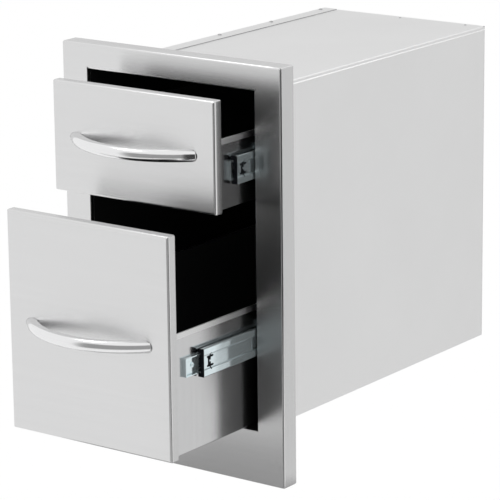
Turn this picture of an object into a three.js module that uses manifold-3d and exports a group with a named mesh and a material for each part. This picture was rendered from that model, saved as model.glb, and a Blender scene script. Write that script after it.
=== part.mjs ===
// Outdoor kitchen drawer unit that is built into an island's cut-out: a stainless face frame, a folded
// sheet casing behind it, and two drawers on full-extension ball-bearing slides, both drawn part open.
// Millimetres. +X is to the right, +Y goes into the island and +Z is up.
// The origin is the middle of the frame's lower rear lip, on the face that meets the island.
import * as THREE from "three";
import { mergeVertices } from "three/addons/utils/BufferGeometryUtils.js";
import Module from "manifold-3d";

const wasm = await Module();
wasm.setup();

// Face frame
const frameWidth = 342;
const frameHeight = 533.4;
const frameDepth = 27;
const frameSheet = 1.2;
const stileWidth = 40;
const topRailHeight = 30.2;
const bottomRailHeight = 68.4;
const rearLipWidth = 12;

// Casing
const casingSheet = 1;
const casingDepth = 525;
const casingSideReveal = 0.2;
const casingCeilingDrop = 2.5;
const casingFloorRise = 0.1;
const frontFlangeWidth = 14;
const topFoldWidth = 22;
const topFoldSetback = 5;
const sideLipHeight = 5.5;
const backFlangeWidth = 15;
const backFlangeInset = 1.2;

// Drawer fronts, which close flush with the frame
const frontThickness = 13;
const frontSheet = 1.2;
const frontSideGap = 5;
const frontTopGap = 3.1;
const frontMiddleGap = 6;
const frontBottomGap = 3.8;
const upperFrontHeight = 140.4;

// Drawer boxes
const boxSheet = 1;
const boxBackGap = 21;
const boxRise = 1.5;
const upperWallHeight = 89;
const lowerWallHeight = 155.5;
const rimHeight = 7.5;
const rimHemGap = 0.8;
const floorFlangeWidth = 12;

// Bow handles
const handleChord = 176;
const handleBow = 35;
const handleDiameter = 16;
const handleScrewInset = 4;

// Handle screws
const handleScrewDiameter = 4;
const handleScrewReach = 8;
const handleScrewHeadDiameter = 8;
const handleScrewHeadHeight = 2.4;

// Slides: three nested members, with balls between each pair
const slideDepth = 12.7;
const slideSheet = 1.2;
const slideSetback = 26;
const cabinetMemberHeight = 45;
const cabinetMemberLength = 450;
const cabinetMemberReach = 8.8;
const cabinetMemberLipHeight = 2.8;
const intermediateLength = 430;
const intermediateEdgeGap = 1.9;
const intermediateBandHeight = 8.4;
const intermediateWebRecess = 1.8;
const intermediateTrackStep = 0.8;
const drawerMemberHeight = 23.8;
const drawerMemberLength = 450;
const drawerMemberReach = 5.1;
const drawerMemberSetback = 8;
const drawerMemberTabGap = 0.6;
const upperSlideDrop = 41.5;
const lowerSlideDrop = 46;

// How far each stage of a slide can travel
const stageTravel = 225;

// Ball cages
const cageSheet = 0.5;
const cagePlay = 0.45;
const cageEdge = 1.6;
const cageMargin = 8;
const ballDiameter = 3;
const ballPlay = 0.15;
const ballPitch = 40;
const outerTrackDepth = 5;
const innerTrackDepth = 3.5;

// Plastic stops at the ends of the slides
const frontBumperNose = 1.5;
const frontBumperTongue = 23;
const frontBumperTongueThickness = 1.3;
const frontBumperTongueHeight = 23;
const frontBumperEdge = 0.5;
const rearBumperGap = 1;
const rearBumperHeight = 32;
const rearBumperThickness = 5.4;

// Snap holes that hold the front bumper in the intermediate member's web
const snapSetback = 14.5;
const snapSpacing = 11.4;
const snapLength = 13.4;
const snapHeight = 9.6;
const snapArmWidth = 2.8;
const snapSlotSetback = 9.6;
const snapSlotWidth = 3.8;

// Release levers
const leverThickness = 2.2;
const leverSetback = 29;
const leverLength = 60;
const leverHubDiameter = 10;
const leverTipHeight = 7;
const leverWaistHeight = 4;
const leverPinDiameter = 4.4;
const leverPinPlay = 0.15;
const leverWebGap = 0.7;
const leverPinStand = 0.3;

// Screws that fasten the drawer members to the drawer boxes
const slideScrewSetback = 17;
const slideScrewDiameter = 3.8;
const slideScrewReach = 4;
const slideScrewHeadDiameter = 7.2;
const slideScrewHeadHeight = 1.6;

// How far each stage is drawn out here
const upperFirstStage = 59;
const upperSecondStage = 15;
const lowerFirstStage = 131;
const lowerSecondStage = 37;

// Fits
const seat = 0.05;
const screwPlay = 0.2;
const runningGap = 0.5;
const cutOverrun = 2;
const weldDistance = 1e-4;

// Facet counts
const handleSides = 12;
const handleSteps = 26;
const screwSides = 10;
const holeSides = 10;
const ballSides = 6;
const ballRings = 4;
const arcSteps = 4;

// Places worked out from the sizes above, measured from the frame's front face and lower edge
const openingHalf = frameWidth / 2 - stileWidth;
const openingFloor = bottomRailHeight;
const openingTop = frameHeight - topRailHeight;
const casingInnerHalf = openingHalf + casingSideReveal;
const casingOuterHalf = casingInnerHalf + casingSheet;
const casingFloor = openingFloor + casingFloorRise;
const casingCeiling = openingTop - casingCeilingDrop;
const casingFront = frameSheet + seat;
const casingWallEnd = casingDepth - casingSheet - seat;
const frontHalf = openingHalf - frontSideGap;
const boxHalf = casingInnerHalf - slideDepth - 2 * seat;
const boxFront = frontThickness + seat;
const boxEnd = casingDepth - casingSheet - boxBackGap;
const lowerFrontFloor = openingFloor + frontBottomGap;
const upperFrontFloor = openingTop - frontTopGap - upperFrontHeight;
const lowerFrontHeight = upperFrontFloor - frontMiddleGap - lowerFrontFloor;

const drawers = [
  {
    name: "upper",
    frontFloor: upperFrontFloor,
    frontHeight: upperFrontHeight,
    wallHeight: upperWallHeight,
    slideDrop: upperSlideDrop,
    firstStage: upperFirstStage,
    secondStage: upperSecondStage,
  },
  {
    name: "lower",
    frontFloor: lowerFrontFloor,
    frontHeight: lowerFrontHeight,
    wallHeight: lowerWallHeight,
    slideDrop: lowerSlideDrop,
    firstStage: lowerFirstStage,
    secondStage: lowerSecondStage,
  },
];
const sides = [
  { name: "left", sign: -1 },
  { name: "right", sign: 1 },
];

// Finishes
const brushedSteel = new THREE.MeshStandardMaterial({ color: 0xd2d3d4, roughness: 0.34, metalness: 1 });
const matteSteel = new THREE.MeshStandardMaterial({ color: 0xcfcfcf, roughness: 0.6, metalness: 0.9 });
const polishedSteel = new THREE.MeshStandardMaterial({ color: 0xe4e5e6, roughness: 0.16, metalness: 1 });
const zincPlate = new THREE.MeshStandardMaterial({ color: 0xcdd6d9, roughness: 0.3, metalness: 1 });
const blackPlastic = new THREE.MeshStandardMaterial({ color: 0x101214, roughness: 0.5, metalness: 0 });

// Joins and cuts

function solidOf(geometry) {
  const bare = geometry.index ? geometry.toNonIndexed() : geometry.clone();
  bare.deleteAttribute("normal");
  bare.deleteAttribute("uv");
  const merged = mergeVertices(bare, weldDistance);
  const vertProperties = merged.attributes.position.array;
  const triVerts = new Uint32Array(merged.index.array);
  return new wasm.Manifold(new wasm.Mesh({ numProp: 3, vertProperties, triVerts }));
}

function geometryOf(solid) {
  const mesh = solid.getMesh();
  const geometry = new THREE.BufferGeometry();
  geometry.setAttribute("position", new THREE.BufferAttribute(mesh.vertProperties, 3));
  geometry.setIndex(new THREE.BufferAttribute(mesh.triVerts, 1));
  const faceted = geometry.toNonIndexed();
  faceted.computeVertexNormals();
  return faceted;
}

function join(first, ...others) {
  return geometryOf(others.reduce((whole, next) => whole.add(solidOf(next)), solidOf(first)));
}

function cut(body, ...tools) {
  return geometryOf(tools.reduce((whole, tool) => whole.subtract(solidOf(tool)), solidOf(body)));
}

function keep(body, region) {
  return geometryOf(solidOf(body).intersect(solidOf(region)));
}

// Basic forms

function block([x0, x1], [y0, y1], [z0, z1]) {
  const geometry = new THREE.BoxGeometry(Math.abs(x1 - x0), y1 - y0, z1 - z0);
  return geometry.translate((x0 + x1) / 2, (y0 + y1) / 2, (z0 + z1) / 2);
}

// An outline in X and Z, run along +Y from one place to another.
function runAlongY(shape, from, to) {
  const geometry = new THREE.ExtrudeGeometry(shape, { depth: to - from, bevelEnabled: false });
  return geometry.rotateX(Math.PI / 2).translate(0, to, 0);
}

function rodAlongX(diameter, [x0, x1], y, z, count) {
  const radius = diameter / 2;
  const rod = new THREE.CylinderGeometry(radius, radius, Math.abs(x1 - x0), count);
  return rod.rotateZ(Math.PI / 2).translate((x0 + x1) / 2, y, z);
}

function rodAlongY(diameter, x, [y0, y1], z, count) {
  const radius = diameter / 2;
  return new THREE.CylinderGeometry(radius, radius, y1 - y0, count).translate(x, (y0 + y1) / 2, z);
}

// The outline of a folded sheet, from the line through the middle of its thickness.
function sheetShape(path, thickness) {
  const points = path.map(([x, y]) => new THREE.Vector2(x, y));
  const offsets = points.map((point, i) => {
    const into = points[Math.max(i - 1, 0)].clone();
    const start = i === 0 ? point : into;
    const firstEnd = i === 0 ? points[1] : point;
    const before = firstEnd.clone().sub(start).normalize();
    const after = i === points.length - 1 ? before : points[i + 1].clone().sub(point).normalize();
    const normal = new THREE.Vector2(-before.y, before.x);
    const bisector = normal.clone().add(new THREE.Vector2(-after.y, after.x)).normalize();
    return bisector.multiplyScalar(thickness / 2 / bisector.dot(normal));
  });
  const near = points.map((point, i) => point.clone().add(offsets[i]));
  const far = points.map((point, i) => point.clone().sub(offsets[i])).reverse();
  return new THREE.Shape([...near, ...far]);
}

// A screw with a domed head, its head's seat at zero and its shank along -Y.
function screw(diameter, reach, headDiameter, headHeight) {
  const profile = [
    new THREE.Vector2(0, -reach),
    new THREE.Vector2(diameter / 2, -reach),
    new THREE.Vector2(diameter / 2, 0),
    new THREE.Vector2(headDiameter / 2, 0),
    new THREE.Vector2(headDiameter / 2, headHeight / 2),
    new THREE.Vector2(headDiameter / 4, headHeight),
    new THREE.Vector2(0, headHeight),
  ];
  return new THREE.LatheGeometry(profile, screwSides);
}

function piece(name, geometry, material) {
  const mesh = new THREE.Mesh(geometry, material);
  mesh.name = name;
  return mesh;
}

// Face frame: one tray with its sides turned back, lips turned in at the rear, and one tall opening

function faceFrame() {
  const half = frameWidth / 2;
  const innerHalf = half - frameSheet;
  const lipHalf = half - rearLipWidth;
  const lipStart = frameDepth - frameSheet;
  const innerHeights = [frameSheet, frameHeight - frameSheet];
  const tray = block([-half, half], [0, frameDepth], [0, frameHeight]);
  const hollow = block([-innerHalf, innerHalf], [frameSheet, lipStart], innerHeights);
  const rearHeights = [rearLipWidth, frameHeight - rearLipWidth];
  const rear = block([-lipHalf, lipHalf], [frameSheet, frameDepth + cutOverrun], rearHeights);
  const openingDepths = [-cutOverrun, frameSheet + cutOverrun];
  const opening = block([-openingHalf, openingHalf], openingDepths, [openingFloor, openingTop]);
  return piece("face_frame", cut(tray, hollow, rear, opening), brushedSteel);
}

// Casing: five folded panels, spot-welded behind the frame's opening

const flangeDepths = [casingFront, casingFront + casingSheet];
const panelDepths = [casingFront, casingWallEnd];

function leftPanel() {
  const floor = casingFloor - casingSheet;
  const top = casingCeiling + 2 * casingSheet + seat;
  const foldStart = casingFront + casingSheet + topFoldSetback;
  const foldWidths = [-casingOuterHalf, topFoldWidth - casingOuterHalf];
  const wall = block([-casingOuterHalf, -casingInnerHalf], panelDepths, [floor, top]);
  const fold = block(foldWidths, [foldStart, casingWallEnd], [top - casingSheet, top]);
  const flangeEdge = -casingOuterHalf - frontFlangeWidth;
  const flange = block([flangeEdge, -casingInnerHalf], flangeDepths, [floor, casingCeiling]);
  return piece("left_side_panel", join(wall, fold, flange), matteSteel);
}

function rightPanel() {
  const heights = [casingFloor - casingSheet, casingCeiling - seat];
  const wall = block([casingInnerHalf, casingOuterHalf], panelDepths, heights);
  const flange = block([casingInnerHalf, casingOuterHalf + frontFlangeWidth], flangeDepths, heights);
  return piece("right_side_panel", join(wall, flange), matteSteel);
}

function topPanel() {
  const top = casingCeiling + casingSheet;
  const lipInner = casingOuterHalf + seat;
  const lipOuter = lipInner + casingSheet;
  const left = seat - casingInnerHalf;
  const lipStart = casingFront + casingSheet + topFoldSetback;
  const sheet = block([left, casingOuterHalf], panelDepths, [casingCeiling, top]);
  const edge = block([casingInnerHalf, lipOuter], [lipStart, casingWallEnd], [casingCeiling, top]);
  const lip = block([lipInner, lipOuter], [lipStart, casingWallEnd], [top - sideLipHeight, top]);
  const flange = block([left, casingInnerHalf], flangeDepths, [casingCeiling, top + frontFlangeWidth]);
  return piece("top_panel", join(sheet, edge, lip, flange), matteSteel);
}

function bottomPanel() {
  const half = casingInnerHalf - seat;
  const floor = casingFloor - casingSheet;
  const sheet = block([-half, half], panelDepths, [floor, casingFloor]);
  const flange = block([-half, half], flangeDepths, [floor - frontFlangeWidth, casingFloor]);
  return piece("bottom_panel", join(sheet, flange), matteSteel);
}

function backPanel() {
  const start = casingDepth - casingSheet;
  const floor = casingFloor - casingSheet;
  const top = casingCeiling + casingSheet;
  const flangeHalf = casingInnerHalf - backFlangeInset;
  const depths = [start - backFlangeWidth, start + casingSheet];
  const upperTop = casingCeiling - seat;
  const lowerFloor = casingFloor + seat;
  const sheet = block([-casingOuterHalf, casingOuterHalf], [start, casingDepth], [floor, top]);
  const upper = block([-flangeHalf, flangeHalf], depths, [upperTop - casingSheet, upperTop]);
  const lower = block([-flangeHalf, flangeHalf], depths, [lowerFloor, lowerFloor + casingSheet]);
  return piece("back_panel", join(sheet, upper, lower), matteSteel);
}

// Drawers, modelled closed, each measured from the lower edge of its own front

const handleRadius = handleDiameter / 2;
const handleHalf = handleChord / 2;
const handleCurve = (handleHalf ** 2 + handleBow ** 2) / (2 * handleBow);
const handleScrewPlace = handleHalf - handleScrewInset;

// The handle's middle line: an arc that bows out in a level plane and runs on behind the front.
class BowLine extends THREE.Curve {
  getPoint(t) {
    const overrun = 2 * handleDiameter;
    const reach = Math.asin(handleHalf / handleCurve) + overrun / handleCurve;
    const angle = (2 * t - 1) * reach;
    const out = handleCurve * Math.cos(angle) - (handleCurve - handleBow);
    return new THREE.Vector3(handleCurve * Math.sin(angle), -out, 0);
  }
}

function handleHole(sign, depths, height) {
  const diameter = handleScrewDiameter + 2 * screwPlay;
  return rodAlongY(diameter, sign * handleScrewPlace, depths, height, holeSides);
}

function bowHandle(name, height) {
  const section = new THREE.Shape();
  for (let i = 0; i < handleSides; i += 1) {
    const angle = (2 * Math.PI * i) / handleSides;
    const x = handleRadius * Math.cos(angle);
    const y = handleRadius * Math.sin(angle);
    if (i === 0) section.moveTo(x, y);
    else section.lineTo(x, y);
  }
  const options = { steps: handleSteps, bevelEnabled: false, extrudePath: new BowLine() };
  const bar = new THREE.ExtrudeGeometry(section, options);
  const widths = [-handleChord, handleChord];
  const depths = [-handleBow - handleDiameter, -seat];
  const inFront = block(widths, depths, [-handleDiameter, handleDiameter]);
  const holeDepths = [-handleScrewReach - screwPlay, cutOverrun];
  const holes = sides.map(({ sign }) => handleHole(sign, holeDepths, 0));
  const handle = cut(keep(bar, inFront), ...holes);
  return piece(name, handle.translate(0, 0, height), polishedSteel);
}

function handleScrew(name, sign, height) {
  const reach = handleScrewReach + frontSheet + seat;
  const shape = screw(handleScrewDiameter, reach, handleScrewHeadDiameter, handleScrewHeadHeight);
  const mesh = piece(name, shape, zincPlate);
  mesh.position.set(sign * handleScrewPlace, frontSheet + seat, height);
  return mesh;
}

function frontPan(name, frontHeight) {
  const inner = frontHalf - frontSheet;
  const innerHeights = [frontSheet, frontHeight - frontSheet];
  const outside = block([-frontHalf, frontHalf], [0, frontThickness], [0, frontHeight]);
  const inside = block([-inner, inner], [frontSheet, frontThickness + cutOverrun], innerHeights);
  const holeDepths = [-cutOverrun, frontSheet + cutOverrun];
  const holes = sides.map(({ sign }) => handleHole(sign, holeDepths, frontHeight / 2));
  return piece(name, cut(outside, inside, ...holes), brushedSteel);
}

function frontLiner(name, frontHeight) {
  const half = frontHalf - frontSheet - seat;
  const depths = [frontThickness - frontSheet, frontThickness];
  const heights = [frontSheet + seat, frontHeight - frontSheet - seat];
  return piece(name, block([-half, half], depths, heights), brushedSteel);
}

function sideWall(name, sign, wallHeight, slideDrop) {
  const middle = boxSheet / 2;
  const wallLine = boxHalf - middle;
  const hemLine = boxHalf + rimHemGap + middle;
  const path = [
    [sign * hemLine, wallHeight - rimHeight],
    [sign * hemLine, wallHeight - middle],
    [sign * wallLine, wallHeight - middle],
    [sign * wallLine, middle],
    [sign * (wallLine - floorFlangeWidth), middle],
  ];
  const wall = runAlongY(sheetShape(path, boxSheet), boxFront, boxEnd);
  const widths = [sign * (boxHalf - boxSheet - cutOverrun), sign * (boxHalf + cutOverrun)];
  const place = slideSetback + drawerMemberSetback + slideScrewSetback;
  const holeDiameter = slideScrewDiameter + 2 * screwPlay;
  const hole = rodAlongX(holeDiameter, widths, place, wallHeight - slideDrop, holeSides);
  return piece(name, cut(wall, hole), matteSteel);
}

function boxFloor(name) {
  const half = boxHalf - boxSheet - seat;
  const floor = boxSheet + seat;
  const sheet = block([-half, half], [boxFront, boxEnd - boxSheet - seat], [floor, floor + boxSheet]);
  return piece(name, sheet, matteSteel);
}

function backWall(name, wallHeight) {
  const half = boxHalf - boxSheet - seat;
  const sheet = block([-half, half], [boxEnd - boxSheet, boxEnd], [boxSheet + seat, wallHeight]);
  return piece(name, sheet, matteSteel);
}

function drawerOf({ name, frontFloor, frontHeight, wallHeight, slideDrop, firstStage, secondStage }) {
  const drawer = new THREE.Group();
  drawer.position.set(0, -firstStage - secondStage, frontFloor);
  drawer.add(frontPan(`${name}_drawer_front`, frontHeight));
  drawer.add(frontLiner(`${name}_front_liner`, frontHeight));
  drawer.add(bowHandle(`${name}_handle`, frontHeight / 2));
  const box = new THREE.Group();
  box.position.set(0, 0, boxRise);
  for (const side of sides) {
    drawer.add(handleScrew(`${name}_handle_${side.name}_screw`, side.sign, frontHeight / 2));
    box.add(sideWall(`${name}_drawer_${side.name}_wall`, side.sign, wallHeight, slideDrop));
  }
  box.add(boxFloor(`${name}_drawer_floor`));
  box.add(backWall(`${name}_drawer_back_wall`, wallHeight));
  drawer.add(box);
  return drawer;
}

// Slides, modelled closed, each measured from its own mid height.
// A depth counts from the casing wall towards the drawer.

const cabinetHalf = cabinetMemberHeight / 2;
const drawerHalf = drawerMemberHeight / 2;
const trackGap = ballDiameter + 2 * ballPlay;
const intermediateHalf = cabinetHalf - slideSheet - trackGap;
const innerTrackHalf = drawerHalf + trackGap;
const outerCageDepth = slideSheet + cagePlay;
const bandDepth = outerCageDepth + cageSheet + cagePlay;
const webDepth = bandDepth + intermediateWebRecess;
const innerCageDepth = webDepth + slideSheet + cagePlay;
const innerTrack = slideDepth - innerTrackDepth;
const intermediateEdge = slideDepth - intermediateEdgeGap;
const drawerMemberEdge = slideDepth - drawerMemberReach;
const slideFront = slideSetback;
const drawerMemberFront = slideSetback + drawerMemberSetback;
const drawerMemberWeb = slideDepth - slideSheet;
const bumperOpening = drawerMemberEdge - runningGap;

function across(sign, depth) {
  return sign * (casingInnerHalf - seat - depth);
}

function span(sign, from, to) {
  return [across(sign, from), across(sign, to)];
}

function mirrored(upperPath) {
  const lowerPath = upperPath.map(([x, y]) => [x, -y]);
  return [...upperPath, ...lowerPath.reverse()];
}

function cabinetMember(name, sign) {
  const middle = slideSheet / 2;
  const path = mirrored([
    [across(sign, cabinetMemberReach - middle), cabinetHalf - cabinetMemberLipHeight],
    [across(sign, cabinetMemberReach - middle), cabinetHalf - middle],
    [across(sign, middle), cabinetHalf - middle],
  ]);
  const member = runAlongY(sheetShape(path, slideSheet), slideFront, slideFront + cabinetMemberLength);
  return piece(name, member, zincPlate);
}

// One cross-shaped snap hole, as two crossed bars through the web.
function snapHole(sign, place, height) {
  const depths = span(sign, 0, slideDepth);
  const reach = snapLength / 2;
  const rise = snapHeight / 2;
  const half = snapArmWidth / 2;
  const level = block(depths, [place - reach, place + reach], [height - half, height + half]);
  const upright = block(depths, [place - half, place + half], [height - rise, height + rise]);
  return [level, upright];
}

function intermediateMember(name, sign) {
  const middle = slideSheet / 2;
  const stepPlace = (outerTrackDepth + innerTrack) / 2;
  const trackHalf = innerTrackHalf + middle;
  const bandHalf = intermediateHalf - middle;
  const bandFoot = intermediateHalf - intermediateBandHeight;
  const path = mirrored([
    [across(sign, intermediateEdge), trackHalf],
    [across(sign, stepPlace + intermediateTrackStep / 2), trackHalf],
    [across(sign, stepPlace - intermediateTrackStep / 2), bandHalf],
    [across(sign, bandDepth + middle), bandHalf],
    [across(sign, bandDepth + middle), bandFoot],
    [across(sign, webDepth + middle), bandFoot - intermediateWebRecess / 2],
  ]);
  const member = runAlongY(sheetShape(path, slideSheet), slideFront, slideFront + intermediateLength);
  const place = slideFront + snapSetback;
  const snaps = [-1, 1].flatMap((end) => snapHole(sign, place, (end * snapSpacing) / 2));
  const slotStart = slideFront + snapSlotSetback;
  const slotHeights = [-snapSpacing / 2, snapSpacing / 2];
  const slot = block(span(sign, 0, slideDepth), [slotStart, slotStart + snapSlotWidth], slotHeights);
  return piece(name, cut(member, ...snaps, slot), zincPlate);
}

function drawerMember(name, sign) {
  const middle = slideSheet / 2;
  const path = mirrored([
    [across(sign, drawerMemberEdge), drawerHalf - middle],
    [across(sign, slideDepth - middle), drawerHalf - middle],
  ]);
  const end = drawerMemberFront + drawerMemberLength;
  const member = runAlongY(sheetShape(path, slideSheet), drawerMemberFront, end);
  const tabDepths = span(sign, drawerMemberEdge + drawerMemberTabGap, slideDepth);
  const tabPlaces = [drawerMemberFront, drawerMemberFront + slideSheet];
  const tab = block(tabDepths, tabPlaces, [-drawerHalf, drawerHalf]);
  const pinStart = drawerMemberWeb - leverWebGap - leverThickness - leverPinStand;
  const pinDepths = span(sign, pinStart, slideDepth - middle);
  const pin = rodAlongX(leverPinDiameter, pinDepths, leverPlace, 0, holeSides);
  const screwPlace = drawerMemberFront + slideScrewSetback;
  const holeDepths = span(sign, slideScrewHeadHeight, slideDepth + cutOverrun);
  const hole = rodAlongX(slideScrewDiameter + 2 * screwPlay, holeDepths, screwPlace, 0, holeSides);
  return piece(name, cut(join(member, tab, pin), hole), zincPlate);
}

// A ball cage: a thin folded strip with a row of balls held in its top and bottom edges.
function ballCage(name, sign, webPlace, ballDepth, ballHeight, from, to) {
  const middle = cageSheet / 2;
  const path = mirrored([
    [across(sign, ballDepth + cageEdge), ballHeight],
    [across(sign, webPlace + middle), ballHeight],
  ]);
  const strip = runAlongY(sheetShape(path, cageSheet), from, to);
  const count = Math.max(2, Math.floor((to - from - 2 * ballDiameter) / ballPitch) + 1);
  const step = (to - from - 2 * ballDiameter) / (count - 1);
  const balls = [];
  for (let i = 0; i < count; i += 1) {
    for (const end of [-1, 1]) {
      const ball = new THREE.SphereGeometry(ballDiameter / 2, ballSides, ballRings);
      const place = from + ballDiameter + i * step;
      balls.push(ball.rotateX(Math.PI / 2).translate(across(sign, ballDepth), place, end * ballHeight));
    }
  }
  return piece(name, join(strip, ...balls), zincPlate);
}

const cageShift = stageTravel / 2;
const outerCageStart = slideFront + cageShift + cageMargin;
const outerCageEnd = slideFront + intermediateLength - cageShift - cageMargin;
const innerCageStart = slideFront + frontBumperTongue + cageShift + cageMargin;
const innerCageEnd = drawerMemberFront + drawerMemberLength - cageShift - cageMargin;

function outerCage(name, sign) {
  const height = cabinetHalf - slideSheet - trackGap / 2;
  return ballCage(name, sign, outerCageDepth, outerTrackDepth, height, outerCageStart, outerCageEnd);
}

function innerCage(name, sign) {
  const height = drawerHalf + trackGap / 2;
  return ballCage(name, sign, innerCageDepth, innerTrack, height, innerCageStart, innerCageEnd);
}

// The front bumper caps the intermediate member round the drawer member, with a tongue in its web.
function frontBumper(name, sign) {
  const half = intermediateHalf - frontBumperEdge;
  const clear = drawerHalf + runningGap;
  const nose = [slideFront - frontBumperNose, slideFront - seat];
  const tongueStart = webDepth + slideSheet + seat;
  const tongueDepths = span(sign, tongueStart, tongueStart + frontBumperTongueThickness);
  const tongueHeights = [-frontBumperTongueHeight / 2, frontBumperTongueHeight / 2];
  const gapPlaces = [nose[0] - cutOverrun, slideFront];
  const cap = block(span(sign, bandDepth, intermediateEdge), nose, [-half, half]);
  const gap = block(span(sign, bumperOpening, slideDepth), gapPlaces, [-clear, clear]);
  const tongue = block(tongueDepths, [nose[0], slideFront + frontBumperTongue], tongueHeights);
  return piece(name, join(cut(cap, gap), tongue), blackPlastic);
}

// The rear bumper stands in the cabinet member's end and stops the intermediate member.
function rearBumper(name, sign) {
  const start = slideFront + intermediateLength + rearBumperGap;
  const end = slideFront + cabinetMemberLength;
  const depths = span(sign, slideSheet + seat, slideSheet + seat + rearBumperThickness);
  const heights = [-rearBumperHeight / 2, rearBumperHeight / 2];
  return piece(name, block(depths, [start, end], heights), blackPlastic);
}

// The release lever turns on a pin in the drawer member's channel.
const leverPlace = drawerMemberFront + leverSetback + leverLength / 2;

function releaseLever(name, sign) {
  const hub = leverHubDiameter / 2;
  const tip = leverTipHeight / 2;
  const waist = leverWaistHeight / 2;
  const half = leverLength / 2;
  const blend = Math.asin(waist / hub);
  const shape = new THREE.Shape();
  shape.moveTo(-half, -tip);
  shape.lineTo(-hub - tip, -waist);
  shape.lineTo(-hub * Math.cos(blend), -waist);
  shape.absarc(0, 0, hub, Math.PI + blend, 2 * Math.PI - blend, false);
  shape.lineTo(half - tip, -waist);
  shape.lineTo(half, -tip);
  shape.lineTo(half, waist);
  shape.lineTo(hub * Math.cos(blend), waist);
  shape.absarc(0, 0, hub, blend, Math.PI - blend, false);
  shape.lineTo(-hub - tip, waist);
  shape.lineTo(-half, tip);
  const options = { depth: leverThickness, bevelEnabled: false, curveSegments: arcSteps };
  const plate = new THREE.ExtrudeGeometry(shape, options);
  plate.translate(0, 0, -leverThickness / 2).applyMatrix4(leverTurn);
  const middle = drawerMemberWeb - leverWebGap - leverThickness / 2;
  const holeDiameter = leverPinDiameter + 2 * leverPinPlay;
  const hole = rodAlongX(holeDiameter, [-leverThickness, leverThickness], 0, 0, holeSides);
  const mesh = piece(name, cut(plate, hole), blackPlastic);
  mesh.position.set(across(sign, middle), leverPlace, 0);
  return mesh;
}

// Turns a plate drawn flat so that its length runs along Y, its height along Z and its thickness along X.
const leverTurn = new THREE.Matrix4().makeBasis(
  new THREE.Vector3(0, 1, 0),
  new THREE.Vector3(0, 0, 1),
  new THREE.Vector3(1, 0, 0),
);

function slideScrew(name, sign) {
  const shape = screw(slideScrewDiameter, slideScrewReach, slideScrewHeadDiameter, slideScrewHeadHeight);
  const mesh = piece(name, shape, zincPlate);
  mesh.rotation.z = (-sign * Math.PI) / 2;
  mesh.position.set(across(sign, drawerMemberWeb - seat), drawerMemberFront + slideScrewSetback, 0);
  return mesh;
}

function slideOf(drawer, { name: sideName, sign }) {
  const name = `${drawer.name}_${sideName}`;
  const slide = new THREE.Group();
  slide.position.z = drawer.frontFloor + boxRise + drawer.wallHeight - drawer.slideDrop;
  const withFirst = new THREE.Group();
  withFirst.position.y = -drawer.firstStage;
  const withBoth = new THREE.Group();
  withBoth.position.y = -drawer.firstStage - drawer.secondStage;
  const outer = outerCage(`${name}_outer_ball_cage`, sign);
  outer.position.y = -drawer.firstStage / 2;
  const inner = innerCage(`${name}_inner_ball_cage`, sign);
  inner.position.y = -drawer.secondStage / 2;
  slide.add(cabinetMember(`${name}_cabinet_member`, sign));
  slide.add(rearBumper(`${name}_rear_bumper`, sign));
  slide.add(outer);
  withFirst.add(intermediateMember(`${name}_intermediate_member`, sign));
  withFirst.add(frontBumper(`${name}_front_bumper`, sign));
  withFirst.add(inner);
  withBoth.add(drawerMember(`${name}_drawer_member`, sign));
  withBoth.add(releaseLever(`${name}_release_lever`, sign));
  withBoth.add(slideScrew(`${name}_slide_screw`, sign));
  slide.add(withFirst, withBoth);
  return slide;
}

// The whole unit

const unit = new THREE.Group();
unit.name = "outdoor_kitchen_drawer_unit";
unit.position.set(0, -frameDepth, -rearLipWidth / 2);
unit.add(faceFrame(), leftPanel(), rightPanel(), topPanel(), bottomPanel(), backPanel());
for (const drawer of drawers) {
  unit.add(drawerOf(drawer));
  for (const side of sides) unit.add(slideOf(drawer, side));
}

export default unit;
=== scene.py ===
"""An outdoor kitchen drawer unit in its finishes.

A brushed face frame stands in front of a matte sheet casing. Two drawers with polished bow
handles are drawn part open on zinc-plated ball-bearing slides.
Metres. +X is to the right, +Y goes into the island and +Z is up.
"""

import math

import bmesh
import bpy
from bpy.props import FloatProperty, FloatVectorProperty, IntProperty, PointerProperty
from bpy.types import Operator, Panel, PropertyGroup
from mathutils import Matrix, Vector


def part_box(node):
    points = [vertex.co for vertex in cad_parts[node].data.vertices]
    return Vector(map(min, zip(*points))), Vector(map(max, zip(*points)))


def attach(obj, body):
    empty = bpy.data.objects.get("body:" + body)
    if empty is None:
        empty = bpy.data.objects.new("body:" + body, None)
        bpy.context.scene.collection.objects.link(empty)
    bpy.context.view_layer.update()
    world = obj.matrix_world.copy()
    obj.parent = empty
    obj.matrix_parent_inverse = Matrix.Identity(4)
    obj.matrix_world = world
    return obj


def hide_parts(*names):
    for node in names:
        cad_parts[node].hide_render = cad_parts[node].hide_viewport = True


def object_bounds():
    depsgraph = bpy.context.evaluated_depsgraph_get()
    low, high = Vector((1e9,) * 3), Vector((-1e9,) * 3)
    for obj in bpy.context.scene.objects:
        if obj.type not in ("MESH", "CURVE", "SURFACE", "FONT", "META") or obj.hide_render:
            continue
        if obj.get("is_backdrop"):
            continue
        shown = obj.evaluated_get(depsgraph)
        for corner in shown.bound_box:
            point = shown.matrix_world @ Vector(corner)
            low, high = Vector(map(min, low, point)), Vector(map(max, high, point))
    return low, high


bl_info = {
    "name": "Outdoor Kitchen Drawer Unit",
    "version": (1, 0, 0),
    "blender": (4, 5, 0),
    "location": "3D View > Sidebar > Drawer Unit",
    "description": "Builds a built-in stainless drawer unit, piece by piece",
    "category": "Mesh",
}

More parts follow.
